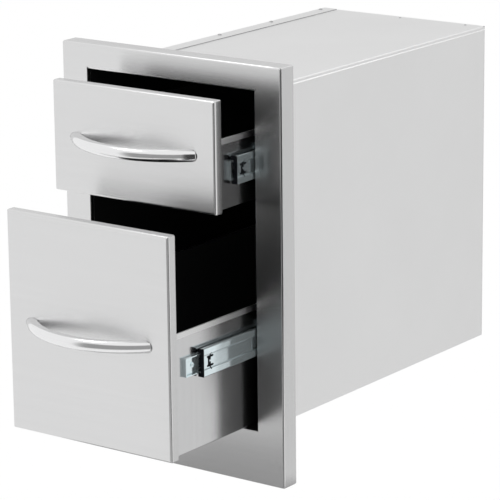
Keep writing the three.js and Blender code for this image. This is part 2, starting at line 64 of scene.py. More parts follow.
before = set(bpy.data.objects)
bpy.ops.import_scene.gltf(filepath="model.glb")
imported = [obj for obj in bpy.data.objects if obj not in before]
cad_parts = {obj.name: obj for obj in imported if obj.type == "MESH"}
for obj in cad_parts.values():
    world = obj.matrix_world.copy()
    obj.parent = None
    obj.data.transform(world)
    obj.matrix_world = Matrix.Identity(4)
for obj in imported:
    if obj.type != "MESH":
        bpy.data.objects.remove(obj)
cad_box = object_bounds()
centre_point = (cad_box[0] + cad_box[1]) / 2

DRAWERS = ("upper", "lower")
SIDES = {"left": -1, "right": 1}
ALONG = {"X": Vector((1, 0, 0)), "Y": Vector((0, 1, 0)), "Z": Vector((0, 0, 1))}
GRAIN_MAP = "grain"
FINISH_ENDING = "_finish"

# Which of a piece's finishes a face has; the second one is painted shade on faces that look inwards
OUTSIDE, PAINTED_SHADE, EDGE = range(3)

# Shares of a unit direction along another that count as pointing that way
SLIGHTLY = 0.3
MOSTLY = 0.5
NEARLY = 0.9

# Facet counts
BEND_STEPS = 5
CORNER_STEPS = 3
DOME_SIDES = 24
BALL_FACETS = 16
EASE_STEPS = 2

# Folds and edges of the sheet
CUT_EDGE = 0.0002
SOFT_CORNER = 0.0001
WELD = 1e-6
CUT_OVERRUN = 0.002
EASED_ABOVE = math.radians(40)

# Drawer boxes
RIM_HEIGHT = 0.0075
RIM_HEM_GAP = 0.0008
FLOOR_FLANGE = 0.012

# Casing, between the low and high corners of its walls
CASING_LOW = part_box("back_panel")[0]
CASING_LOW.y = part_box("right_side_panel")[0].y
CASING_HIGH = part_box("back_panel")[1]
TOP_FOLD_SETBACK = 0.006
BACK_FLANGE = 0.015
TOP_LIP = 0.0075
LIP_JOGGLE = 0.0016

# Rivets, with places as shares of the fold's length and of the casing's half width
LEFT_RIVET_SHARES = (0.52, 0.745, 0.97)
BACK_RIVET_SHARES = (-0.84, 0, 0.8)
BACK_RIVET_SCALE = 0.6

# Domed heads, as shares of their radius and height
RIVET_CROWN = 0.35
RIVET_BRIM = 0.25
DIMPLE_RADIUS = 0.28
DIMPLE_EDGE = 0.7
DIMPLE_FLOOR = 0.6
SCREW_CROWN = 0.45
SCREW_BRIM = 0.3

# Slide sections, as depths from the casing wall and half heights
SLIDE_SHEET = 0.0012
SLIDE_BEND = 0.0011
CABINET_LIP = 0.0028
BAND_HEIGHT = 0.0084
WEB_RECESS = 0.0018
TRACK_STEP = 0.0008
OUTER_TRACK_DEPTH = 0.005
INNER_TRACK_DEPTH = 0.0035
TRACK_GAP = 0.0033
CAGE_SHEET = 0.0005
CAGE_BEND = 0.00075
CAGE_EDGE = 0.0016
BALL = 0.003
BALL_PITCH = 0.04

# Snap holes that hold the front bumper
SNAP_SETBACK = 0.0145
SNAP_SPACING = 0.0114
SNAP_LENGTH = 0.0134
SNAP_HEIGHT = 0.0096
SNAP_WIDTH = 0.0028
SNAP_SLOT_SETBACK = 0.0096
SNAP_SLOT = 0.0038

# Holes along the slides
WEB_HOLE = 0.0046
WEB_SLOT = 0.009
WEB_HOLE_SHARES = (0.2, 0.34, 0.5, 0.66, 0.82, 0.94)

# Screws
SCREW_HEAD = 0.0072
SCREW_HEAD_HEIGHT = 0.0016
SCREW_SHANK = 0.0038
SCREW_REACH = 0.004
SCREW_RECESS = 0.0011
SCREW_RECESS_REACH = 0.0042
SCREW_RECESS_FLOOR = 0.0004
SCREW_TURN = math.radians(20)

# Floor and lamp, with angles in degrees
FLOOR_REACH = 7.5
LAMP_PLACE = (-49, 60)

# Curved cards: azimuths and elevations in degrees, and soft margins as shares of their size
CARD_CELLS = (20, 20)
CARD_SPANS = {
    "front_card": ((-24, 66), (-30, 34), 0.12),
    "side_card": ((84, 250), (-56, 50), 0.15),
    "back_card": ((148, 176), (24, 46), 0.4),
}

# Flat card under the drawers: its drop in metres, the rest in parts of the lower drawer's place
LOW_CARD_DROP = 0.006
LOW_CARD_REACH = 1.9
LOW_CARD_LEAD = 1.3
LOW_CARD_LENGTH = 1.5

# Flat cards beside the drawers and at the frame's edge, the latter's heights in parts of the frame's
NEAR_CARD_CORNER = (0.2, -0.25, -0.25)
NEAR_CARD_WIDTH = 0.2
NEAR_CARD_HEIGHT = 0.85
EDGE_CARD_WIDTH = 0.042
EDGE_CARD_SETBACK = 0.0005
EDGE_CARD_FOOT = 0.15
EDGE_CARD_HEIGHT = 1.07


# Settings

def length_property(name, description, default):
    """A length in metres."""
    return FloatProperty(name=name, description=description, default=default, unit="LENGTH")


def angle_property(name, description, default):
    """An angle in radians."""
    return FloatProperty(name=name, description=description, default=default, subtype="ANGLE")


def share_property(name, description, default):
    """A plain share or factor."""
    return FloatProperty(name=name, description=description, default=default, subtype="FACTOR")


def colour_property(name, description, default):
    """A colour."""
    return FloatVectorProperty(name=name, description=description, default=default, subtype="COLOR")


class DrawerUnitSheet(PropertyGroup):
    """Sizes of the folded sheet."""

    frame_sheet: length_property("Frame sheet", "Thickness of the face frame and drawer fronts", 0.0012)
    casing_sheet: length_property("Casing sheet", "Thickness of the casing and drawer boxes", 0.001)
    frame_fold: length_property("Frame fold", "Outer radius of the face frame's folds", 0.0028)
    front_fold: length_property("Front fold", "Outer radius of the drawer fronts' folds", 0.0034)
    front_corner: length_property(
        "Front corner", "Radius of the drawer fronts' corners, seen from the front", 0.002,
    )
    casing_fold: length_property("Casing fold", "Outer radius of the casing's and boxes' folds", 0.0016)
    stile_width: length_property("Stile width", "Width of the frame beside the opening", 0.04)
    top_rail: length_property("Top rail", "Height of the frame above the opening", 0.0302)
    bottom_rail: length_property("Bottom rail", "Height of the frame below the opening", 0.0684)
    rear_lip: length_property("Rear lip", "Width of the lips behind the frame", 0.012)
    rivet_head: length_property("Rivet head", "Diameter of the casing's rivet heads", 0.0055)
    rivet_height: length_property("Rivet height", "Height of the casing's rivet heads", 0.0012)


class DrawerUnitHandle(PropertyGroup):
    """Sizes of a bow handle."""

    chord: length_property("Chord", "Distance between the two ends of the bar's middle line", 0.176)
    bow: length_property("Bow", "How far the bar's middle line stands out", 0.035)
    diameter: length_property("Diameter", "Diameter of the bar", 0.016)
    sides: IntProperty(name="Sides", description="Facets round the bar", default=40)
    steps: IntProperty(name="Steps", description="Facets along the bar", default=96)


class DrawerUnitFinish(PropertyGroup):
    """Colours and roughness of the finishes."""

    brushed_colour: colour_property(
        "Brushed steel", "Colour of the face frame and drawer fronts", (0.7, 0.7, 0.702),
    )
    brushed_roughness: share_property("Brushed roughness", "Roughness of the brushed steel", 0.24)
    casing_colour: colour_property(
        "Casing steel", "Colour of the matte casing and rims", (0.845, 0.845, 0.845),
    )
    casing_roughness: share_property("Casing roughness", "Roughness of the matte casing", 0.36)
    box_colour: colour_property("Box steel", "Colour of the drawer boxes outside", (0.71, 0.71, 0.715))
    box_roughness: share_property("Box roughness", "Roughness of the drawer boxes", 0.16)
    polished_colour: colour_property("Polished steel", "Colour of the handles", (0.81, 0.81, 0.815))
    polished_roughness: share_property("Polished roughness", "Roughness of the handles", 0.16)
    zinc_colour: colour_property("Zinc plate", "Colour of the slides", (0.86, 0.97, 1.0))
    zinc_roughness: share_property("Zinc roughness", "Roughness of the slides", 0.1)
    plastic_colour: colour_property(
        "Black plastic", "Colour of the bumpers and levers", (0.006, 0.007, 0.009),
    )
    # The rivet colour also paints the seam's cut edge darker: partly a sheared edge, partly painted shade for
    # the shadow line under the fold
    rivet_and_seam_shade_colour: colour_property("Rivet alloy", "Colour of the rivets and cut edge", (0.5, 0.5, 0.505))
    # Painted shade: the drawers' inner faces get this near-black colour in place of the shade inside the
    # casing
    drawer_painted_shade_colour: colour_property(
        "Drawer lining", "Colour of the inner faces of the drawers", (0.045, 0.046, 0.047),
    )
    # Painted shade: the casing's inner faces get this near-black colour in place of the shade inside it
    casing_painted_shade_colour: colour_property(
        "Casing lining", "Colour of the inner faces of the casing", (0.012, 0.0125, 0.013),
    )


class DrawerUnitStage(PropertyGroup):
    """The camera, the floor and the light."""

    azimuth: angle_property(
        "Azimuth", "How far the camera stands round to the right", math.radians(36.493),
    )
    elevation: angle_property(
        "Elevation", "How far the camera stands above the horizon", math.radians(14.616),
    )
    roll: angle_property("Roll", "How far the camera leans", math.radians(-0.656))
    distance: length_property("Distance", "From the camera to the point it looks at", 3.5846)
    aim: FloatVectorProperty(
        name="Aim", description="The point that the camera looks at",
        default=(0.07635, 0.03423, 0.27536), subtype="XYZ", unit="LENGTH",
    )
    lens: FloatProperty(
        name="Lens", description="Focal length in millimetres", default=205.57, unit="CAMERA",
    )
    floor_drop: length_property("Floor drop", "Height of the frame's lower edge above the floor", 0.75)
    card_distance: length_property("Card distance", "From the unit to the cards round it", 1.5)
    lamp_length: length_property("Lamp length", "Length of the lamp", 0.5)
    lamp_width: length_property("Lamp width", "Width of the lamp", 0.3)
    lamp_energy: FloatProperty(
        name="Lamp energy", description="Power of the lamp", default=1.4, unit="POWER",
    )
    front_card: share_property("Front card", "Brightness of the grey card in front", 0.36)
    near_card: share_property("Near card", "Brightness of the dark cards on the right", 0.05)
    side_card: share_property("Side card", "Brightness of the card behind and to the right", 0.77)
    back_card: FloatProperty(
        name="Back card", description="Brightness of the bright card behind", default=5.0,
    )
    low_card: share_property("Low card", "Brightness of the card under the drawers", 0.37)


# Meshes

def bent_line(points, radius):
    """The line through the points, with each corner turned into an arc of at most that radius."""
    line = [Vector(points[0])]
    for before, corner, after in zip(points, points[1:], points[2:]):
        corner = Vector(corner)
        into = Vector(before) - corner
        out = Vector(after) - corner
        turn = math.pi - into.angle(out)
        reach = min(radius * math.tan(turn / 2), min(into.length, out.length) / 2)
        start = corner + into.normalized() * reach
        end = corner + out.normalized() * reach
        middle = (into.normalized() + out.normalized()).normalized()
        centre = corner + middle * (reach / math.sin(turn / 2))
        for step in range(BEND_STEPS + 1):
            share = step / BEND_STEPS
            first = (start - centre) * math.sin((1 - share) * turn)
            second = (end - centre) * math.sin(share * turn)
            line.append(centre + (first + second) / math.sin(turn))
    line.append(Vector(points[-1]))
    return [point for index, point in enumerate(line) if not index or (point - line[index - 1]).length > WELD]


def sheet_outline(points, thickness, radius):
    """The outline of a folded sheet whose middle line runs through the points."""
    line = bent_line(points, radius)
    near = []
    far = []
    for index, point in enumerate(line):
        before = (point - line[index - 1] if index else line[1] - point).normalized()
        last = index + 1 == len(line)
        after = before if last else (line[index + 1] - point).normalized()
        square = Vector((-before.y, before.x))
        between = (square + Vector((-after.y, after.x))).normalized()
        offset = between * (thickness / 2 / between.dot(square))
        near.append(point + offset)
        far.append(point - offset)
    return near + far[::-1]


def loft(rings, closed=False):
    """A closed surface through rings of points, with its ends filled unless it runs round."""
    shape = bmesh.new()
    loops = [[shape.verts.new(point) for point in ring] for ring in rings]
    pairs = list(zip(loops, loops[1:]))
    if closed:
        pairs.append((loops[-1], loops[0]))
    for first, second in pairs:
        for index in range(len(first)):
            after = (index + 1) % len(first)
            shape.faces.new((first[index], first[after], second[after], second[index]))
    if not closed:
        shape.faces.new(loops[0][::-1])
        shape.faces.new(loops[-1])
    bmesh.ops.remove_doubles(shape, verts=shape.verts, dist=WELD)
    bmesh.ops.recalc_face_normals(shape, faces=shape.faces)
    return shape


def placed(point, axis, place):
    """A point of an outline, set at a place along the axis that the outline stands across."""
    first, second = point
    if axis == "X":
        return (place, first, second)
    if axis == "Y":
        return (first, place, second)
    return (first, second, place)


def prism(outline, axis, start, end):
    """An outline run straight along an axis."""
    return loft([[placed(point, axis, place) for point in outline] for place in (start, end)])


def folded(points, sheet, axis, start, end, radius):
    """A folded sheet, from its middle line across an axis and its two ends along it."""
    return prism(sheet_outline(points, sheet, radius - sheet / 2), axis, start, end)


def rectangle(low, high, inset, place, radius):
    """A ring round a rectangle in X and Z with rounded corners."""
    radius = max(radius - inset, SOFT_CORNER)
    left, right = low.x + inset + radius, high.x - inset - radius
    floor, top = low.z + inset + radius, high.z - inset - radius
    ring = []
    for number, (x, z) in enumerate(((right, top), (left, top), (left, floor), (right, floor))):
        for step in range(CORNER_STEPS + 1):
            angle = math.pi / 2 * (number + step / CORNER_STEPS)
            ring.append((x + radius * math.cos(angle), place, z + radius * math.sin(angle)))
    return ring


def quarter(radius):
    """The sines and cosines of a fold, times its radius."""
    turns = [math.pi / 2 * step / BEND_STEPS for step in range(BEND_STEPS + 1)]
    return [(radius * math.sin(turn), radius * math.cos(turn)) for turn in turns]


def tray_profile(depth, sheet, radius, lip):
    """Insets and depths round a tray's folded edge, from the front face to the back of that face."""
    inner = radius - sheet
    profile = [(radius - sine, radius - cosine) for sine, cosine in quarter(radius)]
    if lip:
        profile += [(radius - cosine, depth - radius + sine) for sine, cosine in quarter(radius)]
        profile += [(lip, depth), (lip, depth - sheet)]
        profile += [
            (radius - sine, depth - radius + cosine) for sine, cosine in quarter(inner)
        ]
    else:
        profile += [(0, depth), (sheet, depth)]
    profile += [(radius - cosine, radius - sine) for sine, cosine in quarter(inner)]
    return profile


def lathe(profile, count):
    """A turned shape round Z, from radii and heights."""
    rings = []
    for radius, height in profile:
        turns = [2 * math.pi * index / count for index in range(count)]
        rings.append([(radius * math.cos(turn), radius * math.sin(turn), height) for turn in turns])
    return loft(rings)


def dome(radius, height, crown, brim):
    """Radii and heights of a rounded head, from the brim up to its flat crown."""
    return [
        (radius * (crown + (1 - crown) * cosine), height * (brim + (1 - brim) * sine))
        for sine, cosine in quarter(1)
    ]


def block(low, high):
    """A plain block between two corners."""
    corners = ((low[0], low[2]), (high[0], low[2]), (high[0], high[2]), (low[0], high[2]))
    return prism(corners, "Y", low[1], high[1])


def merged(*shapes):
    """Several shapes in one."""
    whole = bmesh.new()
    for shape in shapes:
        mesh = bpy.data.meshes.new("part")
        shape.to_mesh(mesh)
        shape.free()
        whole.from_mesh(mesh)
        bpy.data.meshes.remove(mesh)
    return whole


def linked(name, data):
    """A new object in the scene."""
    made = bpy.data.objects.new(name, data)
    bpy.context.scene.collection.objects.link(made)
    return made


def object_of(shape, name):
    """A new object in the scene, from a shape that is used up."""
    mesh = bpy.data.meshes.new(name)
    shape.to_mesh(mesh)
    shape.free()
    return linked(name, mesh)


def carved(shape, *tools):
    """A shape with the tools cut out of it."""
    body = object_of(shape, "body")
    cutters = [object_of(tool, "cutter") for tool in tools]
    for cutter in cutters:
        cut = body.modifiers.new("Cut", "BOOLEAN")
        cut.object = cutter
        cut.solver = "EXACT"
    bpy.context.view_layer.update()
    evaluated = body.evaluated_get(bpy.context.evaluated_depsgraph_get())
    result = bmesh.new()
    result.from_mesh(evaluated.to_mesh())
    evaluated.to_mesh_clear()
    for spare in [body, *cutters]:
        mesh = spare.data
        bpy.data.objects.remove(spare)
        bpy.data.meshes.remove(mesh)
    return result


def lay_grain(shape, along, spare):
    """A map whose V runs along the grain and whose U runs across it, in metres."""
    layer = shape.loops.layers.uv.new(GRAIN_MAP)
    for face in shape.faces:
        normal = face.normal
        line = ALONG[along] - normal * normal.dot(ALONG[along])
        if line.length < MOSTLY:
            line = ALONG[spare] - normal * normal.dot(ALONG[spare])
        if line.length < MOSTLY:
            line = normal.orthogonal()
        line.normalize()
        across = line.cross(normal)
        for corner in face.loops:
            corner[layer].uv = (corner.vert.co.dot(across), corner.vert.co.dot(line))


def soften(piece, ease):
    """Eased cut edges, and normals that keep the flats flat."""
    if ease:
        bevel = piece.modifiers.new("Eased edges", "BEVEL")
        bevel.width = ease
        bevel.segments = EASE_STEPS
        bevel.limit_method = "ANGLE"
        bevel.angle_limit = EASED_ABOVE
    piece.modifiers.new("Flat normals", "WEIGHTED_NORMAL").keep_sharp = True


def make_piece(
        name, shape, body, slot, replaces=(), finishes=(), grain=("Y", "Z"), choose=None, ease=CUT_EDGE):
    """A piece that rides on its body, in the finish that its slot names or in several."""
    lay_grain(shape, *grain)
    for face in shape.faces:
        face.smooth = True
        if choose:
            face.material_index = choose(face)
    piece = object_of(shape, name)
    for finish in finishes or (slot,):
        piece.data.materials.append(finish_named(finish))
    soften(piece, ease)
    if replaces:
        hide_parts(*replaces)
    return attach(piece, body)


def dress_node(name, finish, ease):
    """A node of the frame that keeps its own shape and gets a finish."""
    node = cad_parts[name]
    for slot in node.material_slots:
        slot.link = "OBJECT"
        slot.material = finish
    weld = node.modifiers.new("Welded", "WELD")
    weld.merge_threshold = WELD
    soften(node, ease)


# Finishes

def new_finish(name):
    """An empty material and its shader."""
    material = bpy.data.materials.new(name + FINISH_ENDING)
    material.use_nodes = True
    return material, material.node_tree.nodes["Principled BSDF"]


def add_node(material, kind, inputs=None, **settings):
    """A node with its settings and input values."""
    node = material.node_tree.nodes.new(kind)
    for key, value in settings.items():
        setattr(node, key, value)
    for key, value in (inputs or {}).items():
        node.inputs[key].default_value = value
    return node


def wire(material, source, target):
    """A link between two sockets."""
    material.node_tree.links.new(source, target)


def object_place(material):
    """The socket of places on the object, in metres."""
    return add_node(material, "ShaderNodeTexCoord").outputs["Object"]


def noise_of(material, vector, scale, detail=3.0, roughness=0.6):
    """A noise over a vector, as a factor socket."""
    mapping = add_node(material, "ShaderNodeMapping", {"Scale": scale})
    noise = add_node(
        material, "ShaderNodeTexNoise", {"Scale": 1.0, "Detail": detail, "Roughness": roughness},
    )
    wire(material, vector, mapping.inputs["Vector"])
    wire(material, mapping.outputs["Vector"], noise.inputs["Vector"])
    return noise.outputs["Fac"]


def spread_of(material, factor, low, high):
    """A noise's middle range stretched between two values."""
    spread = add_node(
        material, "ShaderNodeMapRange",
        {"From Min": 0.3, "From Max": 0.7, "To Min": low, "To Max": high},
    )
    wire(material, factor, spread.inputs["Value"])
    return spread.outputs["Result"]


def shaded(material, factor, colour, darkest):
    """A colour that a factor darkens by at most a share."""
    mix = add_node(material, "ShaderNodeMix", data_type="RGBA")
    mix.inputs["A"].default_value = (*[part * darkest for part in colour], 1)
    mix.inputs["B"].default_value = (*colour, 1)
    wire(material, factor, mix.inputs["Factor"])
    return mix.outputs["Result"]


def roughened(material, factor, shader, roughness, swing):
    """A roughness that a noise swings up and down by a share."""
    rough = spread_of(material, factor, roughness * (1 - swing), roughness * (1 + swing))
    wire(material, rough, shader.inputs["Roughness"])


def raised(material, factor, shader, strength, distance):
    """A fine relief on the shader's normal."""
    bump = add_node(material, "ShaderNodeBump", {"Strength": strength, "Distance": distance})
    wire(material, factor, bump.inputs["Height"])
    wire(material, bump.outputs["Normal"], shader.inputs["Normal"])


def grained_metal(name, colour, roughness, anisotropy, darkest):
    """Metal with fine lines along its grain, which blur what it mirrors across them."""
    material, shader = new_finish(name)
    shader.inputs["Metallic"].default_value = 1.0
    shader.inputs["Anisotropic"].default_value = anisotropy
    grain = add_node(material, "ShaderNodeUVMap", uv_map=GRAIN_MAP).outputs["UV"]
    lines = noise_of(material, grain, scale=(2400, 14, 1), detail=4.0, roughness=0.65)
    bands = noise_of(material, grain, scale=(160, 1.6, 1), detail=2.0)
    clouds = noise_of(material, object_place(material), scale=(9, 9, 9))
    both = add_node(material, "ShaderNodeMath", operation="MULTIPLY")
    wire(material, spread_of(material, bands, low=0.0, high=1.0), both.inputs[0])
    wire(material, spread_of(material, clouds, low=0.5, high=1.0), both.inputs[1])
    wire(material, shaded(material, both.outputs[0], colour, darkest), shader.inputs["Base Color"])
    roughened(material, lines, shader, roughness, swing=0.1)
    raised(material, lines, shader, strength=0.05, distance=0.00002)
    tangent = add_node(material, "ShaderNodeTangent", direction_type="UV_MAP", uv_map=GRAIN_MAP)
    wire(material, tangent.outputs["Tangent"], shader.inputs["Tangent"])
    return material


def brushed_steel(look):
    """Straight-line brushed stainless sheet."""
    return grained_metal(
        "brushed_steel", look.brushed_colour, look.brushed_roughness, anisotropy=0.85, darkest=0.965,
    )


def polished_steel(look):
    """Bright polished bar, with faint lines along it."""
    return grained_metal(
        "polished_steel", look.polished_colour, look.polished_roughness, anisotropy=0.2, darkest=0.99,
    )


def rivet_alloy_and_seam_shade(look):
    """Dull grey rivets, and the seam's cut edge, darker partly as a sheared edge and partly as painted shade
    for the shadow line under the fold.
    """
    return grained_metal(
        "rivet_alloy_and_seam_shade", look.rivet_and_seam_shade_colour, look.casing_roughness, anisotropy=0.0, darkest=0.9,
    )


def box_steel(look):
    """Sheet of the drawer boxes, smoother than the casing and faintly lined along the drawer."""
    return grained_metal(
        "box_steel", look.box_colour, look.box_roughness, anisotropy=0.6, darkest=0.96,
    )


def casing_steel(look):
    """Matte mill-finish sheet, a little clouded."""
    material, shader = new_finish("casing_steel")
    shader.inputs["Metallic"].default_value = 1.0
    place = object_place(material)
    clouds = spread_of(material, noise_of(material, place, scale=(6, 6, 6), detail=4.0), low=0.0, high=1.0)
    grit = noise_of(material, place, scale=(1500, 260, 1500), roughness=0.7)
    colour = shaded(material, clouds, look.casing_colour, darkest=0.975)
    wire(material, colour, shader.inputs["Base Color"])
    roughened(material, grit, shader, look.casing_roughness, swing=0.08)
    raised(material, grit, shader, strength=0.12, distance=0.00003)
    return material


def zinc_plate(look):
    """Bright bluish zinc, faintly mottled."""
    material, shader = new_finish("zinc_plate")
    shader.inputs["Metallic"].default_value = 0.9
    place = object_place(material)
    mottle = noise_of(material, place, scale=(340, 120, 340))
    grit = noise_of(material, place, scale=(2200, 500, 2200), detail=2.0)
    spread = spread_of(material, mottle, low=0.0, high=1.0)
    wire(material, shaded(material, spread, look.zinc_colour, darkest=0.93), shader.inputs["Base Color"])
    roughened(material, mottle, shader, look.zinc_roughness, swing=0.15)
    raised(material, grit, shader, strength=0.1, distance=0.00002)
    return material


def dull_finish(name, colour, roughness, level, grain_size):
    """A dark dull surface with a fine grain, for moulded plastic and for the painted shade inside the casing
    and drawers.
    """
    material, shader = new_finish(name)
    shader.inputs["Specular IOR Level"].default_value = level
    grain = noise_of(material, object_place(material), (1 / grain_size,) * 3)
    wire(material, shaded(material, grain, colour, darkest=0.7), shader.inputs["Base Color"])
    roughened(material, grain, shader, roughness, swing=0.1)
    raised(material, grain, shader, strength=0.2, distance=grain_size / 10)
    return material


def black_plastic(look):
    """Moulded black plastic."""
    return dull_finish("black_plastic", look.plastic_colour, roughness=0.5, level=0.05, grain_size=0.0008)


def casing_painted_shade(look):
    """Painted shade: the near-black finish on the casing's inner faces."""
    return dull_finish("casing_painted_shade", look.casing_painted_shade_colour, roughness=0.7, level=0.06, grain_size=0.0012)


def drawer_painted_shade(look):
    """Painted shade: the dark finish on the drawers' inner faces."""
    return dull_finish(
        "drawer_painted_shade", look.drawer_painted_shade_colour, roughness=0.7, level=0.12, grain_size=0.0012,
    )


FINISHES = {
    maker.__name__: maker
    for maker in (
        brushed_steel, polished_steel, casing_steel, box_steel, rivet_alloy_and_seam_shade, zinc_plate, black_plastic,
        casing_painted_shade, drawer_painted_shade,
    )
}


def finish_named(name):
    """A finish by its name, made on its first use."""
    made = bpy.data.materials.get(name + FINISH_ENDING)
    return made or FINISHES[name](bpy.context.scene.drawer_unit_finish)


# Face frame and drawer fronts

def build_face_frame(sizes):
    """The front plate with one tall opening, its sides turned back and its lips at the rear."""
    low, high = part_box("face_frame")
    profile = tray_profile(high.y - low.y, sizes.frame_sheet, sizes.frame_fold, sizes.rear_lip)
    rings = [rectangle(low, high, inset, low.y + depth, sizes.frame_fold) for inset, depth in profile]
    floor = Vector((low.x + sizes.stile_width, 0, low.z + sizes.bottom_rail))
    top = Vector((high.x - sizes.stile_width, 0, high.z - sizes.top_rail))
    for depth in (sizes.frame_sheet, 0):
        rings.append(rectangle(floor, top, 0, low.y + depth, SOFT_CORNER))
    make_piece(
        "face_frame_shell", loft(rings, closed=True), "cabinet", "brushed_steel", ["face_frame"],
        grain=("X", "Z"),
    )


def build_drawer_front(drawer, sizes):
    """A folded pan, closed at its back by a liner plate."""
    body = f"{drawer}_drawer"
    low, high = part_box(f"{drawer}_drawer_front")
    profile = tray_profile(high.y - low.y, sizes.frame_sheet, sizes.front_fold, None)
    rings = [rectangle(low, high, inset, low.y + depth, sizes.front_corner) for inset, depth in profile]
    make_piece(
        f"{drawer}_front_pan", loft(rings), body, "brushed_steel", [f"{drawer}_drawer_front"],
        grain=("X", "Y"),
    )
    liner = block(*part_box(f"{drawer}_front_liner"))
    make_piece(
        f"{drawer}_front_liner_plate", liner, body, "brushed_steel", [f"{drawer}_front_liner"],
        grain=("X", "Z"),
    )


def build_handle(drawer, sizes):
    """A round bar bent to an arc, with its two ends cut off flush with the front."""
    low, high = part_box(f"{drawer}_handle")
    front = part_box(f"{drawer}_drawer_front")[0].y
    height = (low.z + high.z) / 2
    half = sizes.chord / 2
    curve = (half ** 2 + sizes.bow ** 2) / (2 * sizes.bow)
    reach = math.asin(half / curve) + 2 * sizes.diameter / curve
    rings = []
    for step in range(sizes.steps + 1):
        turn = reach * (2 * step / sizes.steps - 1)
        out = Vector((math.sin(turn), -math.cos(turn), 0))
        centre = Vector((0, front + curve - sizes.bow, height)) + out * curve
        ring = []
        for side in range(sizes.sides):
            angle = 2 * math.pi * side / sizes.sides
            ring.append(centre + (out * math.cos(angle) + ALONG["Z"] * math.sin(angle)) * sizes.diameter / 2)
        rings.append(ring)
    bar = loft(rings)
    bmesh.ops.bisect_plane(
        bar, geom=bar.verts[:] + bar.edges[:] + bar.faces[:],
        plane_co=(0, front, 0), plane_no=(0, 1, 0), clear_outer=True,
    )
    bmesh.ops.holes_fill(bar, edges=[edge for edge in bar.edges if edge.is_boundary])
    make_piece(
        f"{drawer}_bow_handle", bar, f"{drawer}_drawer", "polished_steel", [f"{drawer}_handle"],
        grain=("X", "Y"), ease=0,
    )


# Casing

def inside_walls(point):
    """Whether a point lies within the casing's outer walls."""
    return CASING_LOW.x < point.x < CASING_HIGH.x and CASING_LOW.z < point.z < CASING_HIGH.z


def casing_finish(face):
    """Painted shade for a face that looks into the casing, a dull darker cut edge that partly paints the
    shadow line under the seam, else matte steel.
    """
    centre = face.calc_center_median()
    normal = face.normal
    over_top = centre.z > CASING_HIGH.z and abs(centre.x) < CASING_HIGH.x - BACK_FLANGE
    # The fold's cut edge over the top takes the darker rivet colour: partly a sheared edge, partly painted
    # shade for the shadow line under the fold
    if over_top and normal.x > NEARLY:
        return EDGE
    # Faces that look into the casing, and the back's inner faces, get painted shade
    inside = Vector((0, centre.y, (CASING_LOW.z + CASING_HIGH.z) / 2)) - centre
    at_back = centre.y > CASING_HIGH.y - BACK_FLANGE and normal.y < -MOSTLY
    looks_in = abs(normal.y) < MOSTLY and normal.dot(inside) > 0 and inside_walls(centre)
    return PAINTED_SHADE if at_back or looks_in else OUTSIDE


def casing_piece(name, shape, node, grain=("Y", "Z")):
    """One panel of the casing, matte outside, with painted shade inside."""
    make_piece(
        name, shape, "cabinet", "casing_steel", [node], ("casing_steel", "casing_painted_shade", "rivet_alloy_and_seam_shade"),
        grain, casing_finish,
    )


def build_side_panels(sizes):
    """The casing's sides: the left one is folded over the top, and both are flanged at the front."""
    sheet, fold = sizes.casing_sheet, sizes.casing_fold
    low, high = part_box("left_side_panel")
    wall = CASING_LOW.x + sheet / 2
    front = low.y + sheet / 2
    start = low.y + TOP_FOLD_SETBACK
    top = high.z - sheet / 2
    strip = folded(
        [(low.x, front), (wall, front), (wall, start)], sheet, "Z", low.z, high.z - sheet, fold,
    )
    side = folded(
        [(wall, low.z), (wall, top), (high.x, top)], sheet, "Y", start, high.y, fold,
    )
    casing_piece("casing_left_side", merged(strip, side), "left_side_panel")
    low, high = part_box("right_side_panel")
    wall = CASING_HIGH.x - sheet / 2
    shape = folded(
        [(high.x, front), (wall, front), (wall, high.y)], sheet, "Z", low.z, high.z, fold,
    )
    casing_piece("casing_right_side", shape, "right_side_panel")


def build_top_and_bottom(sizes):
    """The casing's top, with its right edge folded down over the side, and its bottom."""
    sheet, fold = sizes.casing_sheet, sizes.casing_fold
    low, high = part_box("top_panel")
    front = low.y + sheet / 2
    start = low.y + TOP_FOLD_SETBACK
    level = CASING_HIGH.z - sheet / 2
    edge = high.x - sheet / 2
    lip_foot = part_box("left_side_panel")[1].z - TOP_LIP
    strip = folded(
        [(front, high.z), (front, level), (start, level)], sheet, "X", low.x, CASING_HIGH.x - sheet, fold,
    )
    inner = edge - LIP_JOGGLE
    top = folded(
        [
            (low.x, level), (inner, level), (inner, level - 2 * LIP_JOGGLE),
            (edge, level - 3 * LIP_JOGGLE), (edge, lip_foot),
        ],
        sheet, "Y", start, high.y, fold,
    )
    casing_piece("casing_top", merged(strip, top), "top_panel")
    low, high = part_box("bottom_panel")
    level = high.z - sheet / 2
    shape = folded(
        [(front, low.z), (front, level), (high.y, level)], sheet, "X", low.x, high.x, fold,
    )
    casing_piece("casing_bottom", shape, "bottom_panel")


def build_back_panel(sizes):
    """The casing's back, with a flange at its top and one at its foot."""
    sheet = sizes.casing_sheet
    low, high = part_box("back_panel")
    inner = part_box("bottom_panel")[1]
    width = inner.x - sheet
    plate = block((low.x, high.y - sheet, low.z), high)
    foot = block((-width, low.y, inner.z), (width, high.y - sheet, inner.z + sheet))
    ceiling = high.z - sheet
    head = block((-width, low.y, ceiling - sheet), (width, high.y - sheet, ceiling))
    casing_piece("casing_back", merged(plate, foot, head), "back_panel", ("X", "Z"))


def rivet(sizes):
    """A blind rivet's domed head, with the dimple that its stem leaves."""
    radius, height = sizes.rivet_head / 2, sizes.rivet_height
    profile = [(0, 0), (radius, 0), *dome(radius, height, RIVET_CROWN, RIVET_BRIM)]
    profile += [(radius * DIMPLE_RADIUS, height * DIMPLE_EDGE), (0, height * DIMPLE_FLOOR)]
    return lathe(profile, DOME_SIDES)


